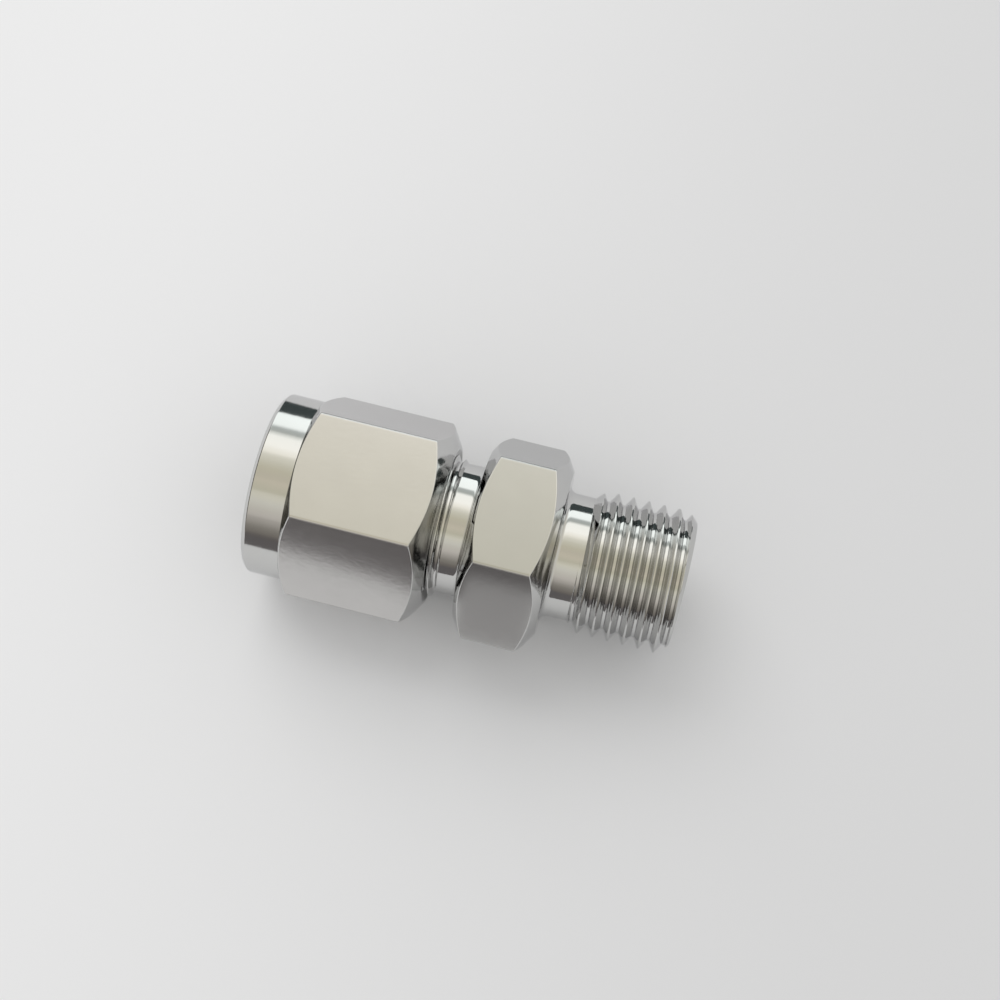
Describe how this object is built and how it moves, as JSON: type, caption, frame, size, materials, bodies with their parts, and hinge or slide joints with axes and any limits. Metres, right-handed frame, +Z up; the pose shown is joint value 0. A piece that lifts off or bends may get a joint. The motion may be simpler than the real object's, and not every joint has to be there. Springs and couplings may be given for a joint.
{
  "type": "double ferrule male connector",
  "caption": "Stainless tube fitting with a hexagon nut, two ferrules and a hexagon body with a parallel male thread.",
  "frame": {"origin": "under the middle of the fitting, on the surface that its wrench flats lie on", "axes": "+X along the fitting's axis from the tube end to the male stud, +Z up, hexagon corners along Y"},
  "size_m": [0.041, 0.0208, 0.018],
  "materials": {
    "body_steel": "polished stainless steel",
    "nut_steel": "polished stainless steel, faintly mottled flats",
    "ferrule_steel": "fine turned stainless steel"
  },
  "bodies": {
    "body": {"body": "body_steel"},
    "ferrules": {"front_ferrule": "ferrule_steel", "back_ferrule": "ferrule_steel"},
    "nut": {"nut": "nut_steel"}
  },
  "joints": [
    {"name": "nut_travel", "type": "slide", "parent": "body", "child": "ferrules", "axis": [-1, 0, 0], "range_m": [0, 0.0075]},
    {"name": "nut_turn", "type": "hinge", "parent": "ferrules", "child": "nut", "pos_m": [0, 0, 0.009], "axis": [-1, 0, 0], "range_deg": [0, 2700]}
  ],
  "couplings": [
    {"joint": "nut_travel", "follows": "nut_turn", "m_per_rad": 0.00015915}
  ]
}
